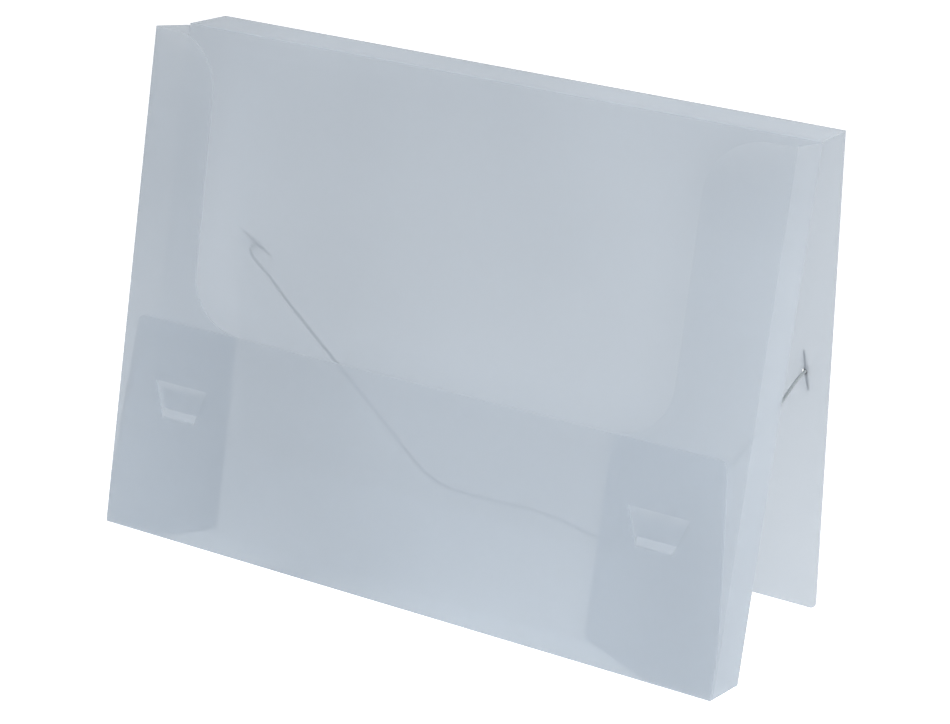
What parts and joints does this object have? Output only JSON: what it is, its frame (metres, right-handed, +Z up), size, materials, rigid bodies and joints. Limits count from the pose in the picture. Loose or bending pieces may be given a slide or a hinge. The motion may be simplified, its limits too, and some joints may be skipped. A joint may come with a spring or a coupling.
{
  "type": "file box",
  "caption": "Frosted plastic A4 document box creased from a sheet, open as an easel: shallow tray with pocket and side flaps, folded-back lid, elastic cord with metal T bars.",
  "frame": {"origin": "on the surface that the box stands on, under the middle of its bounding box", "axes": "+Z up, +X across the width to the right as seen from the tray's open front, +Y from the tray to the lid"},
  "size_m": [0.33, 0.1193, 0.2459],
  "materials": {
    "frosted_sheet": "frosted translucent polypropylene sheet, 0.8 mm, fine matte grain",
    "elastic": "round braided elastic cord, pale grey",
    "steel": "plated steel, lightly drawn"
  },
  "bodies": {
    "tray": {"rear_panel": "frosted_sheet", "bottom_wall": "frosted_sheet", "left_side_wall": "frosted_sheet", "right_side_wall": "frosted_sheet", "left_side_flap": "frosted_sheet", "right_side_flap": "frosted_sheet", "pocket_flap": "frosted_sheet", "left_lock_tongue": "frosted_sheet", "right_lock_tongue": "frosted_sheet"},
    "spine": {"top_spine": "frosted_sheet"},
    "lid": {"lid": "frosted_sheet", "elastic_cord": "elastic"},
    "left_bar": {"left_t_bar": "steel"},
    "right_bar": {"right_t_bar": "steel"}
  },
  "joints": [
    {"name": "spine_crease", "type": "hinge", "parent": "tray", "child": "spine", "pos_m": [0, 0.01301, 0.24158], "axis": [1, 0, 0], "range_deg": [-5, 173.8]},
    {"name": "lid_crease", "type": "hinge", "parent": "spine", "child": "lid", "pos_m": [0, 0.04162, 0.23938], "axis": [1, 0, 0], "range_deg": [-12, 170.2]},
    {"name": "left_bar_swivel", "type": "hinge", "parent": "lid", "child": "left_bar", "pos_m": [-0.1513, 0.05031, 0.1212], "axis": [0, -0.9973, -0.0733], "range_deg": [-90, 90]},
    {"name": "right_bar_swivel", "type": "hinge", "parent": "lid", "child": "right_bar", "pos_m": [0.1513, 0.05031, 0.1212], "axis": [0, -0.9973, -0.0733], "range_deg": [-90, 90]}
  ]
}
